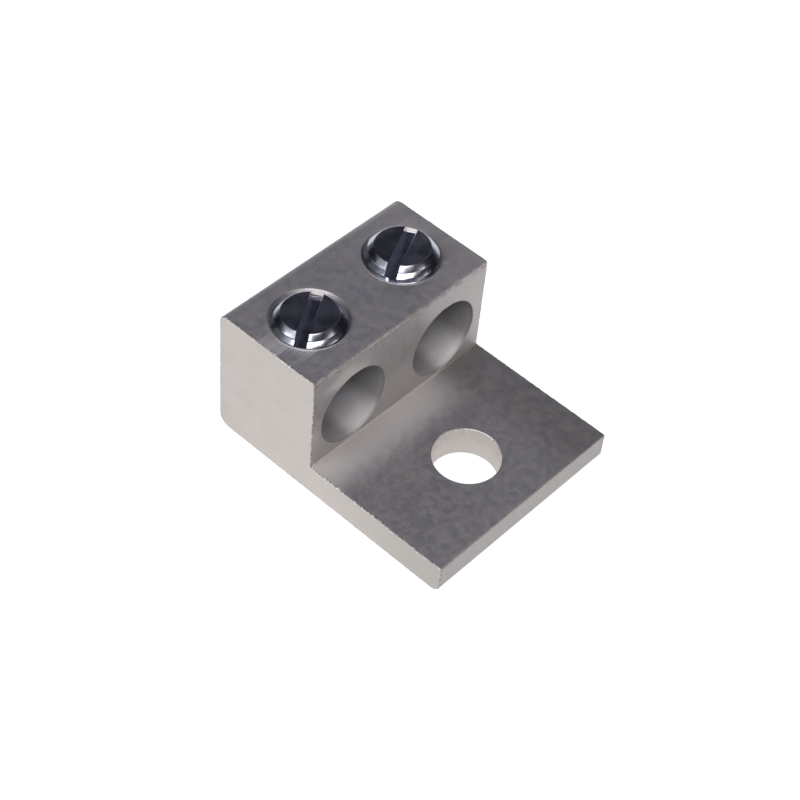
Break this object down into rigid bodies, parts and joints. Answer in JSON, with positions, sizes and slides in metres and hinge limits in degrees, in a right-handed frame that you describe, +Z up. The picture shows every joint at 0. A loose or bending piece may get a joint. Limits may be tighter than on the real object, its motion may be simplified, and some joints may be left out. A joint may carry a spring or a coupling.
{
  "type": "dual conductor lug",
  "caption": "Extruded aluminium terminal lug: a block with side-by-side wire bores clamped by slotted set screws, and a flat tongue with a mounting hole.",
  "frame": {"origin": "middle of the lug's flat underside, halfway along its length and its width", "axes": "+X from the wire block to the tongue's tip, +Y across the lug towards the right screw, +Z up out of the underside"},
  "size_m": [0.0372, 0.0302, 0.0208],
  "materials": {
    "plated_aluminium": "satin tin-plated extrusion with fine lengthwise die lines and bright edges",
    "plated_steel": "bright bluish zinc plating, mirror-like"
  },
  "bodies": {
    "lug": {"lug_body": "plated_aluminium"},
    "left_screw": {"left_set_screw": "plated_steel"},
    "right_screw": {"right_set_screw": "plated_steel"}
  },
  "joints": [
    {"name": "left_screw_travel", "type": "slide", "parent": "lug", "child": "left_screw", "axis": [0, 0, 1], "range_m": [-0.0037, 0.00529]},
    {"name": "right_screw_travel", "type": "slide", "parent": "lug", "child": "right_screw", "axis": [0, 0, 1], "range_m": [-0.00423, 0.00529]}
  ]
}
